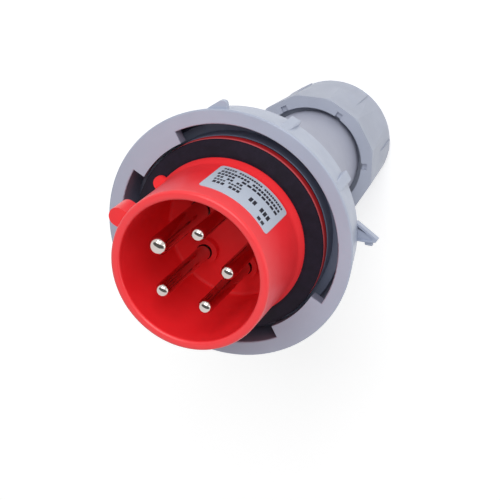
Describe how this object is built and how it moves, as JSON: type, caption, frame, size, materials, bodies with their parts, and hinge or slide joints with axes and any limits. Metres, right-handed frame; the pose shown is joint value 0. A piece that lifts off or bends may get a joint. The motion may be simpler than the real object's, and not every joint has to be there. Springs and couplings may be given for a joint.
{
  "type": "industrial plug",
  "caption": "Watertight round industrial power plug: red shroud with contact pins, grey housing, bayonet locking ring and cable gland.",
  "frame": {"origin": "on the plug's axis, in the flat rear end of the gland nut", "axes": "+Z along the axis from the cable end to the pins, +X towards the earth pin and the key, +Y by the right-hand rule"},
  "size_m": [0.1052, 0.1052, 0.1876],
  "materials": {
    "red_plastic": "satin moulded polyamide, red",
    "grey_plastic": "satin moulded polyamide, light grey",
    "black_rubber": "matt moulded rubber",
    "black_plastic": "matt moulded polyamide",
    "nickel_plate": "bright nickel plate on brass",
    "zinc_steel": "zinc plated",
    "spring_steel": "bright drawn wire",
    "label_foil": "satin foil label"
  },
  "bodies": {
    "plug_body": {"contact_carrier": "red_plastic", "earth_pin": "nickel_plate", "neutral_pin": "nickel_plate", "line_pin_1": "nickel_plate", "line_pin_2": "nickel_plate", "line_pin_3": "nickel_plate", "terminal_screws": "zinc_steel", "contact_retainer": "black_plastic", "retainer_screws": "zinc_steel", "flange_gasket": "black_rubber", "housing_seal": "black_rubber", "housing": "grey_plastic", "snap_ring": "spring_steel", "clamp_cage": "black_plastic", "cable_seal": "black_rubber", "rating_label": "label_foil"},
    "locking_ring_body": {"locking_ring": "grey_plastic"},
    "pressure_ring_body": {"pressure_ring": "black_plastic"},
    "gland_nut_body": {"gland_nut": "grey_plastic"}
  },
  "joints": [
    {"name": "ring_turn", "type": "hinge", "parent": "plug_body", "child": "locking_ring_body", "pos_m": [0, 0, 0.1275], "axis": [0, 0, 1], "range_deg": [0, 45]},
    {"name": "gland_travel", "type": "slide", "parent": "plug_body", "child": "pressure_ring_body", "axis": [0, 0, -1], "range_m": [0, 0.006]},
    {"name": "gland_turn", "type": "hinge", "parent": "pressure_ring_body", "child": "gland_nut_body", "pos_m": [0, 0, 0.02], "axis": [0, 0, -1], "range_deg": [0, 720]}
  ],
  "couplings": [
    {"joint": "gland_travel", "follows": "gland_turn", "m_per_rad": 0.000477}
  ]
}
